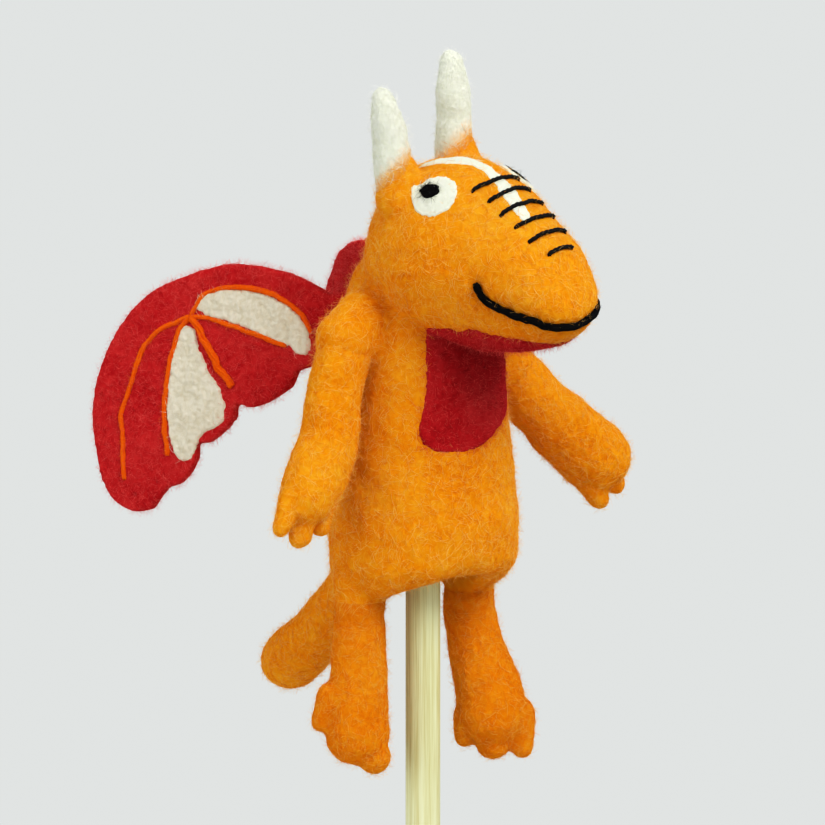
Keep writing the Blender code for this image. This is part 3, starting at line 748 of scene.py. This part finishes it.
def horn_frame(side):
    """Foot of a horn on the head, and the direction it stands in."""
    co = vertices_of(frame["nodes"][f"{side}_horn"])
    ordered = co[np.argsort(co[:, 2])]
    tenth = len(co) // 10
    low, high = Vector(ordered[:tenth].mean(0)), Vector(ordered[-tenth:].mean(0))
    way = (high - low).normalized()
    return low - way * 5.5 * MM, way


# Balls that melt into the skin, with distances and radii in millimetres
NECK_BALL = 15.6
# Inward from the shoulder, upward, radius
SHOULDER_BALLS = ((0, 0, 6.3), (2, 1.5, 6.3), (4.5, 4, 5.8), (4.5, 0, 6))
# Up the horn, out towards the nose, radius
HORN_CONE = ((-1, 0.4, 5.2), (1.6, 1.0, 4.2), (4, 1.6, 3.0), (6, 2.0, 2.1))
NOSE_SIDE = Vector((0.72, -0.69, 0))


def make_skin(materials):
    """Torso, neck, head, legs and tail melted into one felted skin."""
    nodes = ["body_shell", "head_shell", "head_core", "right_leg", "left_leg", "tail"]
    balls = [(NECK, NECK_BALL * MM)]
    for limb in ("right_arm", "left_arm"):
        pivot, _ = limb_way(limb)
        for across, up, radius in SHOULDER_BALLS:
            balls.append((pivot + inward_from(pivot) * across * MM + UP * up * MM, radius * MM))
    for limb in ("right_leg", "left_leg"):
        pivot, _ = limb_way(limb)
        co = vertices_of(frame["nodes"][limb])
        balls.append((Vector(co[co[:, 2].argmin()]) + UP * 3.4 * MM, 3.5 * MM))
        balls += [(pivot + UP * rise * MM, 5.2 * MM) for rise in (3, 5.5, 8)]
    tail, _ = limb_way("tail")
    balls.append((tail, 5.9 * MM))
    balls.append((tail - Vector((0, 4 * MM, 0)), 5.6 * MM))
    for side in SIDES:
        foot, way = horn_frame(side)
        for up, out, radius in HORN_CONE:
            balls.append((foot + way * up * MM + NOSE_SIDE * out * MM, radius * MM))
    skin = soft_union("whole_felt", nodes, 0.66 * MM, 3, materials["orange"], balls)
    height = vertices_of(skin)[:, 2]
    soften(skin, 6, np.clip((height - LEG_SEAM) / (6 * MM) + 1, 0, 1))
    groove(skin, "mouth_line", 0.8 * MM, 1.4 * MM)
    roughen(skin, 0.4 * MM, 0.1 * MM, lump_size=6 * MM)
    return skin


def groove(obj, node, depth, width):
    """Presses a channel into the skin along a thin CAD node."""
    tree = point_tree(vertices_of(frame["nodes"][node]))
    co, normals = vertices_of(obj), normals_of(obj)
    gaps = np.array([tree.find(point)[2] for point in co])
    move_vertices(obj, co - normals * (depth * np.exp(-((gaps / width) ** 2)))[:, None])


TAIL_WAY = Vector((0, 0.8, -0.6))
TAIL_SEAM = PIVOTS["tail_swing"] + TAIL_WAY * 0.5 * MM


def limb_of(point):
    """Which limb a point of the skin belongs to, or None for the body."""
    if point.y > 15 * MM and abs(point.x) < 9 * MM:
        return "tail" if (point - TAIL_SEAM).dot(TAIL_WAY) > 0 else None
    if point.z < LEG_SEAM and point.y < 12 * MM:
        return "right_leg" if point.x < 0 else "left_leg"
    return None


def split_off(skin, limb, name):
    """The part of the skin that belongs to a limb, or to the body."""
    bm = bmesh.new()
    bm.from_mesh(skin.data)
    others = [f for f in bm.faces if limb_of(f.calc_center_median()) != limb]
    bmesh.ops.delete(bm, geom=others, context="FACES")
    return object_from(bm, name, list(skin.data.materials))


def close(obj):
    """Caps the open ends where a limb was split off."""
    bm = bmesh.new()
    bm.from_mesh(obj.data)
    rim = [edge for edge in bm.edges if edge.is_boundary]
    for edge in rim:
        edge.smooth = False
    bmesh.ops.holes_fill(bm, edges=rim, sides=0)
    bm.to_mesh(obj.data)
    bm.free()


def make_body(skin, bare, materials):
    """The torso and head, with their fibres."""
    co = vertices_of(skin)
    own = np.array([limb_of(Vector(point)) is None for point in co])
    above = co[:, 2] > NECK.z
    below = ~above & (np.hypot(co[:, 0], co[:, 1]) > 12.5 * MM)
    strands = materials["orange_strands"]
    for name, where, seed in (("head", above, 11), ("torso", below, 13)):
        share = bare * own * where
        for layer in range(2):
            follow_neck(fuzz(f"{name}_fuzz_{layer}", skin, strands, 1.5, seed=seed + layer, share=share))
    body = split_off(skin, None, "body_felt")
    bpy.data.objects.remove(skin)
    close(body)
    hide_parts("body_shell", "head_shell", "head_core", "right_horn_base", "left_horn_base")
    follow_neck(body)


def make_arm(limb, seed, materials):
    pivot, _ = limb_way(limb)
    balls = [(pivot, 5.5 * MM), (pivot + inward_from(pivot) * 2 * MM, 5 * MM)]
    felt = soft_union(f"{limb}_felt", [limb], 0.55 * MM, 4, materials["orange"], balls)
    return roughen(felt, 0.45 * MM, 0.1 * MM, 2.3 * seed + 1)


def make_limb(limb, felt, seed, materials):
    """Wool, fibres and a capped end for an arm, leg or tail."""
    # Legs take the darker orange, which is partly painted shade under the body's hem
    wool = "leg_orange_painted_shade" if "leg" in limb else "orange"
    felt.data.materials[0] = materials[wool]
    hairs = fuzz(f"{limb}_fuzz", felt, materials[f"{wool}_strands"], 3, seed=81 + seed)
    close(felt)
    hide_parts(limb)
    for piece in (felt, hairs):
        follow_limb(piece, limb)


# ---- face and chest ----


HEAD_MIDDLE = NECK + Vector((0, -8, 12)) * MM
HEAD_ROLL = math.radians(10)
HEAD_LEFT = Vector((math.cos(HEAD_ROLL), 0, math.sin(HEAD_ROLL)))
HEAD_CROWN = Vector((-math.sin(HEAD_ROLL), 0, math.cos(HEAD_ROLL)))
# The red up the throat: turns round the neck, heights above the hem, greatest distance out
THROAT_TURNS = (math.radians(-38), math.radians(42))
THROAT_HEIGHTS = (40 * MM, 54 * MM)
THROAT_REACH = 22 * MM
# The red under the jaw: how far below and forward of the head's middle it lies, and its half
# width in millimetres at places forward
JAW_DEPTHS = (11.5 * MM, 23 * MM)
JAW_BACK = 5.5 * MM
JAW_FORWARD = (6, 10, 15, 21, 26.6, 29.4, 31)
JAW_HALF = (10.2, 11.2, 10.9, 8.8, 6.2, 3.9, -1)


def throat_field(points):
    """Between the bib's top and the jaw the red wool goes on up the throat."""
    radius = np.hypot(points[:, 0], points[:, 1])
    turn = np.arctan2(points[:, 0], -points[:, 1])
    height = points[:, 2] - HEM_HEIGHT
    sides = np.minimum(turn - THROAT_TURNS[0], THROAT_TURNS[1] - turn) * radius
    ends = np.minimum(height - THROAT_HEIGHTS[0], THROAT_HEIGHTS[1] - height)
    return np.minimum(np.minimum(sides, ends), THROAT_REACH - radius)


def jaw_field(points):
    """The underside of the head from the throat to the chin."""
    place = points - np.array(HEAD_MIDDLE)
    side = place @ np.array(HEAD_LEFT)
    forward = -place[:, 1]
    up = place @ np.array(HEAD_CROWN)
    half = np.interp(forward / MM, JAW_FORWARD, JAW_HALF) * MM
    upright = np.minimum(-JAW_DEPTHS[0] - up, up + JAW_DEPTHS[1])
    return np.minimum(np.minimum(half - np.abs(side), forward - JAW_BACK), upright)


# White felt on the head: name, CAD node, how far it stands off the skin in millimetres
WHITE_PATCHES = (
    ("blaze", "forehead_blaze", 0.15),
    ("right_eye", "right_eye", 0.25),
    ("left_eye", "left_eye", 0.65),
)
PUPIL_RISE = {"right": 0.7, "left": 1.05}
STITCHES = 6


def make_markings(skin, materials):
    """The red throat, white eyes and blaze, black pupils; returns the share of skin left bare."""
    points, normals = vertices_of(skin), normals_of(skin)
    tree = tree_of(skin)

    def inside(node):
        return inside_by(node, points, normals, tree)

    red = [inside("throat_bib"), inside("jaw_patch"), throat_field(points), jaw_field(points)]
    red = even_out(skin, np.max(red, axis=0), 6)
    make_throat(skin, red, materials)
    covered = red
    for name, node, rise in WHITE_PATCHES:
        white = even_out(skin, inside(node))
        covered = np.maximum(covered, white)
        make_white_patch(name, node, rise, skin, white, materials)
    for side, rise in PUPIL_RISE.items():
        make_pupil(side, rise, skin, even_out(skin, inside(f"{side}_pupil")), materials)
    for i in range(STITCHES):
        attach(make_stitch(i + 1, tree, materials), "head")
    for piece in make_mouth(tree, materials):
        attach(piece, "head")
    return bare_by(covered)


def make_throat(skin, red, materials):
    """The bib, throat and jaw as one red patch."""
    # The throat's darker red is partly painted shade under the jaw
    throat = inlay("throat_felt", skin, red, materials["dark_red"], 0.35 * MM, 3.0)
    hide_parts("throat_bib", "jaw_patch")
    follow_neck(throat)
    hairs = fuzz(
        "throat_fuzz", skin, materials["dark_red_strands"], 6, (1, 2.2), seed=21,
        share=np.clip(red / MM + 0.7, 0, 1), raised=0.25,
    )
    follow_neck(hairs)


def make_white_patch(name, node, rise, skin, white, materials):
    seed = len(name)
    patch = inlay(f"{name}_felt", skin, white, materials["white"], rise * MM, seed, 2, 0.8 * MM)
    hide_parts(node)
    hairs = fuzz(
        f"{name}_fuzz", skin, materials["white_strands"], 6, (0.9, 2), lift=0.15, width=0.025,
        seed=60 + seed, share=shown(white), stray=0.06, raised=rise,
    )
    for piece in (patch, hairs):
        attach(piece, "head")


def make_pupil(side, rise, skin, black, materials):
    pupil = inlay(
        f"{side}_pupil_wool", skin, black, materials["black"], rise * MM, 8, 2, 0.8 * MM, 0.2 * MM
    )
    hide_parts(f"{side}_pupil")
    hairs = fuzz(
        f"{side}_pupil_fuzz", skin, materials["black_strands"], 18, (0.8, 1.9), width=0.03,
        seed=70, share=np.clip(black / MM + 0.1, 0, 1), mix=DARK_MIX, stray=0.06, raised=rise,
    )
    for piece in (pupil, hairs):
        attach(piece, "head")


def shown(field):
    """Share of a marking's fibres that start at each place, none of them near its edge."""
    return np.clip(field / MM - 0.3, 0, 1)


def bare_by(field):
    """Share of the skin's own fibres that start at each place, fading out over a marking's edge."""
    return np.clip(0.6 - field / MM, 0, 1)


def on_skin(line, tree, height):
    """A line's points moved onto a skin, standing off it by height, and the skin's normals there."""
    points, normals = [], []
    for point in line:
        near, normal, _, _ = tree.find_nearest(Vector(point))
        points.append(near + normal * height)
        normals.append(normal)
    return np.array(points, float), np.array(normals, float)


def make_stitch(i, tree, materials):
    line = soften_line(resample(centreline(f"nose_stitch_{i}", 7), 0.3 * MM), 6)
    points, normals = on_skin(line, tree, 0.5 * MM)
    points = soften_line(points, 2)
    share = np.linspace(-1, 1, len(points))
    dive = np.clip((np.abs(share) - 0.8) / 0.2, 0, 1) ** 2 * 0.9 * MM
    points -= normals * dive[:, None]
    made = twisted(f"nose_stitch_{i}_floss", points, normals, 3, 0.25, 0.2, 3.2, materials["thread"])
    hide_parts(f"nose_stitch_{i}")
    return made


def make_mouth(tree, materials):
    line = soften_line(resample(centreline("mouth_line", 40), 0.5 * MM), 6)
    points, normals = on_skin(line, tree, 0.5 * MM)
    points = soften_line(points, 3)
    cord = twisted("mouth_wool", points, normals, 5, 0.42, 0.36, 15, materials["black"], 0.1)
    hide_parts("mouth_line")
    hairs = fuzz(
        "mouth_fuzz", cord, materials["black_strands"], 3, (1.2, 2.4), lift=0.15, width=0.025,
        seed=64, mix=DARK_MIX,
    )
    return [cord, hairs]


# Balls that fill out a horn: heights of those at its foot, then down from its tip and radius
HORN_FOOT = (-2, -0.5, 1, 2.5, 4, 5.5, 7, 8.5)
HORN_FOOT_RADIUS = 3.72
HORN_TIP = ((2.9, 2.5), (4.5, 2.8), (6.5, 3.05), (8.5, 3.3))


def make_horns(materials):
    for side, sign in SIDES.items():
        foot, way = horn_frame(side)
        outer = -NOSE_SIDE * 0.5 * MM
        balls = [
            (foot + way * up * MM + outer * (1 - up / 9), HORN_FOOT_RADIUS * MM) for up in HORN_FOOT
        ]
        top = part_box(f"{side}_horn")[1].z - foot.z
        balls += [(foot + way * (top - down * MM), radius * MM) for down, radius in HORN_TIP]
        turning_point = foot + way * 5.6 * MM
        material = horn_material(f"{side}_horn_felted_wool", turning_point)
        horn = soft_union(f"{side}_horn_felt", [f"{side}_horn"], 0.45 * MM, 7, material, balls)
        roughen(horn, 0.3 * MM, 0.08 * MM, 7.0 + sign, 4 * MM)
        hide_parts(f"{side}_horn")
        below = vertices_of(horn) - np.array(turning_point)
        low = below @ np.array(HORN_FADE_WAY) / HORN_FADE_LENGTH
        orange = np.clip(low / 0.7 + 0.5, 0, 1)
        white_hairs = fuzz(
            f"{side}_horn_fuzz", horn, materials["white_strands"], 5, (2, 4), width=0.025,
            seed=71 + sign, share=1 - orange, stray=0.3,
        )
        orange_hairs = fuzz(
            f"{side}_horn_orange_fuzz", horn, materials["orange_strands"], 4, (1.5, 3), width=0.025,
            seed=74 + sign, share=np.clip(orange * 2 - 1, 0, 1),
        )
        for piece in (horn, white_hairs, orange_hairs):
            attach(piece, "head")


# ---- wings ----


# How far each panel's felt spreads past its CAD outline, in millimetres
PANEL_GROWTH = {"upper_panel": 1.3, "lower_panel": 0.9}
RIBS = ("rib_crown", "rib_front", "rib_short", "rib_middle", "rib_outer")
# Balls that thicken a wing's root: steps inward from the joint, steps up it, radius
ROOT_INWARD = (0, 1.5, 3, 4.5)
ROOT_UP = (-3, -1, 1, 3, 5)
ROOT_RADIUS = 2


def make_wings(materials):
    for side, sign in SIDES.items():
        wing = make_wing_felt(side, sign, materials)
        points, normals = vertices_of(wing), normals_of(wing)
        tree = tree_of(wing)
        pieces = []
        covered = np.full(len(points), -1.0)
        for panel, growth in PANEL_GROWTH.items():
            field = even_out(wing, inside_by(f"{side}_wing_{panel}", points, normals, tree))
            field += growth * MM
            covered = np.maximum(covered, field)
            pieces += make_panel(side, sign, panel, wing, field, materials)
        hub = wing_hub(side)
        for i, rib in enumerate(RIBS):
            made = make_rib(side, rib, hub, tree, materials)
            hairs = fuzz(
                f"{made.name}_fuzz", made, materials["roving_strands"], 5, (0.8, 2), lift=0.2,
                width=0.025, seed=51 + i,
            )
            pieces += [made, hairs]
        hairs = fuzz(
            f"{side}_wing_fuzz", wing, materials["red_strands"], 5, (1.3, 2.8), lift=0.25,
            width=0.022, seed=31 + sign, share=bare_by(covered), stray=0.7,
        )
        pieces.append(hairs)
        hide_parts(f"{side}_wing")
        for piece in [wing, *pieces]:
            follow_wing(piece)


def make_wing_felt(side, sign, materials):
    pivot = PIVOTS[f"{side}_wing_flap"]
    inward = inward_from(pivot)
    balls = [
        (pivot + inward * across * MM + Vector((0, 0, up * MM)), ROOT_RADIUS * MM)
        for across in ROOT_INWARD for up in ROOT_UP
    ]
    wing = soft_union(f"{side}_wing_felt", [f"{side}_wing"], 0.5 * MM, 5, materials["red"], balls)
    return roughen(wing, 0.25 * MM, 0.1 * MM, 5.0 + sign, 4 * MM, 0.9 * MM)


def make_panel(side, sign, panel, wing, field, materials):
    felt = inlay(
        f"{side}_{panel}_felt", wing, field, materials["cream"], 0.35 * MM, 2.0 + sign,
        edge=1.2 * MM, rough=0.22 * MM,
    )
    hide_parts(f"{side}_wing_{panel}")
    hairs = fuzz(
        f"{side}_{panel}_fuzz", wing, materials["cream_strands"], 4, (1.2, 2.6), lift=0.2,
        width=0.025, seed=41 + sign, share=shown(field), stray=0.05, raised=0.35,
    )
    return [felt, hairs]


def wing_hub(side):
    """Where the ribs meet, between the nearest ends of the front and crown ribs."""
    front = centreline(f"{side}_wing_rib_front", 12)
    crown = centreline(f"{side}_wing_rib_crown", 12)
    middle = centreline(f"{side}_wing_rib_middle", 12).mean(0)

    def nearest_end(line):
        return min((line[0], line[-1]), key=lambda end: np.linalg.norm(end - middle))

    return nearest_end(front) * 0.6 + nearest_end(crown) * 0.4


HUB_RADIUS = 3.2 * MM


def make_rib(side, rib, hub, tree, materials):
    """Strands of orange wool laid together from the hub and needled on."""
    line = centreline(f"{side}_wing_{rib}", 14)
    if np.linalg.norm(line[-1] - hub) < np.linalg.norm(line[0] - hub):
        line = line[::-1]
    line = line[np.linalg.norm(line - hub, axis=1) > HUB_RADIUS]
    line = soften_line(resample(np.vstack([hub, line]), 0.6 * MM), 8)
    points, normals = on_skin(line, tree, 0.02 * MM)
    strand, wind = (0.36, 0.5) if rib == "rib_short" else (0.3, 0.24)
    made = twisted(
        f"{side}_{rib}_wool", points, normals, 6, strand, wind, 20, materials["roving"], 0.2, len(rib)
    )
    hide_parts(f"{side}_wing_{rib}")
    return made


# ---- rod ----


ROD_RINGS = 90
ROD_SIDES = 56
ROD_END = 0.92


def rod_ring(radius, z):
    """One ring of the rod's surface, a little out of round as split bamboo is."""
    ring = []
    for k in range(ROD_SIDES):
        turn = 2 * math.pi * k / ROD_SIDES
        x, y = math.cos(turn), math.sin(turn)
        flat = 1 - 0.012 * noise.noise(Vector((x * 2.2, y * 2.2, z * 9)))
        ring.append((radius * flat * x, radius * flat * y, z))
    return ring


def make_rod(materials):
    low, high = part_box("rod")
    radius = (high.x - low.x) / 2
    sides = ROD_SIDES
    rows = []
    for i, z in enumerate(np.linspace(low.z, high.z, ROD_RINGS)):
        edge = ROD_END if i in (0, ROD_RINGS - 1) else 1.0
        rows.append(rod_ring(radius * edge, z))
    co = [p for ring in rows for p in ring]
    faces = [list(range(sides))[::-1], [(len(rows) - 1) * sides + k for k in range(sides)]]
    for i in range(len(rows) - 1):
        for k in range(sides):
            j = (k + 1) % sides
            faces.append([i * sides + k, i * sides + j, (i + 1) * sides + j, (i + 1) * sides + k])
    mesh = bpy.data.meshes.new("bamboo_rod")
    mesh.from_pydata(co, [], faces)
    mesh.shade_smooth()
    rod = as_object("bamboo_rod", mesh, materials["bamboo"])
    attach(rod, "rod")
    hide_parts("rod")


def make_wadding(materials):
    wadding = soft_union("rod_wadding_wool", ["rod_wadding"], 0.6 * MM, 2, materials["core"])
    roughen(wadding, 0.15 * MM, 0.12 * MM)
    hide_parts("rod_wadding")
    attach(wadding, "wadding")


# ---- room ----


FLOOR_RADIUS = 0.42
# Distances from the rod at which the floor is gone and is whole
FLOOR_FADE = (0.41, 0.12)


def make_floor():
    """A pale disc under the rod that fades out at its edge."""
    bm = bmesh.new()
    bmesh.ops.create_circle(bm, cap_ends=True, segments=96, radius=FLOOR_RADIUS)
    nodes = Nodes("pale_floor")
    place = nodes.add("ShaderNodeTexCoord")
    reach = nodes.vector_math("LENGTH", place.outputs["Object"])
    nodes.put(nodes.shader.inputs["Alpha"], nodes.fade(reach["Value"], *FLOOR_FADE))
    nodes.shader.inputs["Base Color"].default_value = (0.74, 0.76, 0.75, 1)
    nodes.shader.inputs["Roughness"].default_value = 0.9
    object_from(bm, "floor", nodes.material)


def make_light(name, place, target, size, power, colour):
    data = bpy.data.lights.new(name, "AREA")
    data.shape = "DISK"
    data.size = size
    data.energy = power
    data.color = colour
    lamp = bpy.data.objects.new(name, data)
    lamp.location = place
    lamp.rotation_mode = "QUATERNION"
    lamp.rotation_quaternion = (Vector(target) - Vector(place)).to_track_quat("-Z", "Y")
    bpy.context.scene.collection.objects.link(lamp)


BACKDROP = (0.73, 0.752, 0.744, 1)
WORLD_BELOW = 0.42
WORLD_ABOVE = 0.78


def make_world():
    """An even pale backdrop, and softer light that comes mostly from above."""
    world = bpy.data.worlds.new("studio")
    world.use_nodes = True
    tree = world.node_tree
    link = tree.links.new
    glow = tree.nodes["Background"]
    glow.inputs["Color"].default_value = (0.96, 0.98, 1, 1)
    place = tree.nodes.new("ShaderNodeTexCoord")
    parts = tree.nodes.new("ShaderNodeSeparateXYZ")
    link(place.outputs["Generated"], parts.inputs[0])
    level = tree.nodes.new("ShaderNodeMapRange")
    limits = {"From Min": -1, "From Max": 1, "To Min": WORLD_BELOW, "To Max": WORLD_ABOVE}
    for limit, value in limits.items():
        level.inputs[limit].default_value = value
    link(parts.outputs["Z"], level.inputs["Value"])
    link(level.outputs["Result"], glow.inputs["Strength"])
    backdrop = tree.nodes.new("ShaderNodeBackground")
    backdrop.inputs["Color"].default_value = BACKDROP
    ray = tree.nodes.new("ShaderNodeLightPath")
    mix = tree.nodes.new("ShaderNodeMixShader")
    for i, source in enumerate((ray.outputs["Is Camera Ray"], glow.outputs[0], backdrop.outputs[0])):
        link(source, mix.inputs[i])
    link(mix.outputs[0], tree.nodes["World Output"].inputs["Surface"])
    bpy.context.scene.world = world


# Points of the view's contrast curve, each a level in and a level out
CONTRAST = ((0.02, 0.008), (0.12, 0.075), (0.3, 0.27), (0.6, 0.62))
COMBINED_CURVE = 3
KEY_POWER = 6.4
FILL_POWER = 2.6


def make_room():
    view = bpy.context.scene.view_settings
    view.view_transform = "Standard"
    view.use_curve_mapping = True
    curve = view.curve_mapping.curves[COMBINED_CURVE]
    for low, high in CONTRAST:
        curve.points.new(low, high)
    view.curve_mapping.update()
    make_world()
    middle = NECK - UP * 15 * MM
    key = middle + CAMERA_RIGHT * 0.45 + FACING * 0.55 + UP * 0.6
    fill = middle - CAMERA_RIGHT * 0.8 + FACING * 0.5 + UP * 0.1
    make_light("key", key, middle, 0.5, KEY_POWER, (1, 0.99, 0.95))
    make_light("fill", fill, middle, 0.8, FILL_POWER, (0.96, 0.98, 1))
    make_floor()


def make_camera():
    back = FACING * math.cos(CAMERA_ELEVATION) + UP * math.sin(CAMERA_ELEVATION)
    data = bpy.data.cameras.new("camera")
    data.sensor_width = SENSOR
    data.lens = SENSOR * CAMERA_DISTANCE / FIELD
    camera = bpy.data.objects.new("camera", data)
    camera.location = CAMERA_TARGET + back * CAMERA_DISTANCE
    camera.rotation_mode = "QUATERNION"
    camera.rotation_quaternion = (-back).to_track_quat("-Z", "Y")
    bpy.context.scene.collection.objects.link(camera)
    bpy.context.scene.camera = camera


# ---- the puppet ----


def main():
    make_camera()
    make_room()
    materials = make_materials()
    make_rod(materials)
    make_wadding(materials)
    skin = make_skin(materials)
    bare = make_markings(skin, materials)
    make_horns(materials)
    for seed, limb in enumerate(LIMB_JOINTS):
        if "arm" in limb:
            felt = make_arm(limb, seed, materials)
        else:
            felt = split_off(skin, limb, f"{limb}_felt")
        make_limb(limb, felt, seed, materials)
    make_body(skin, bare, materials)
    make_wings(materials)


main()
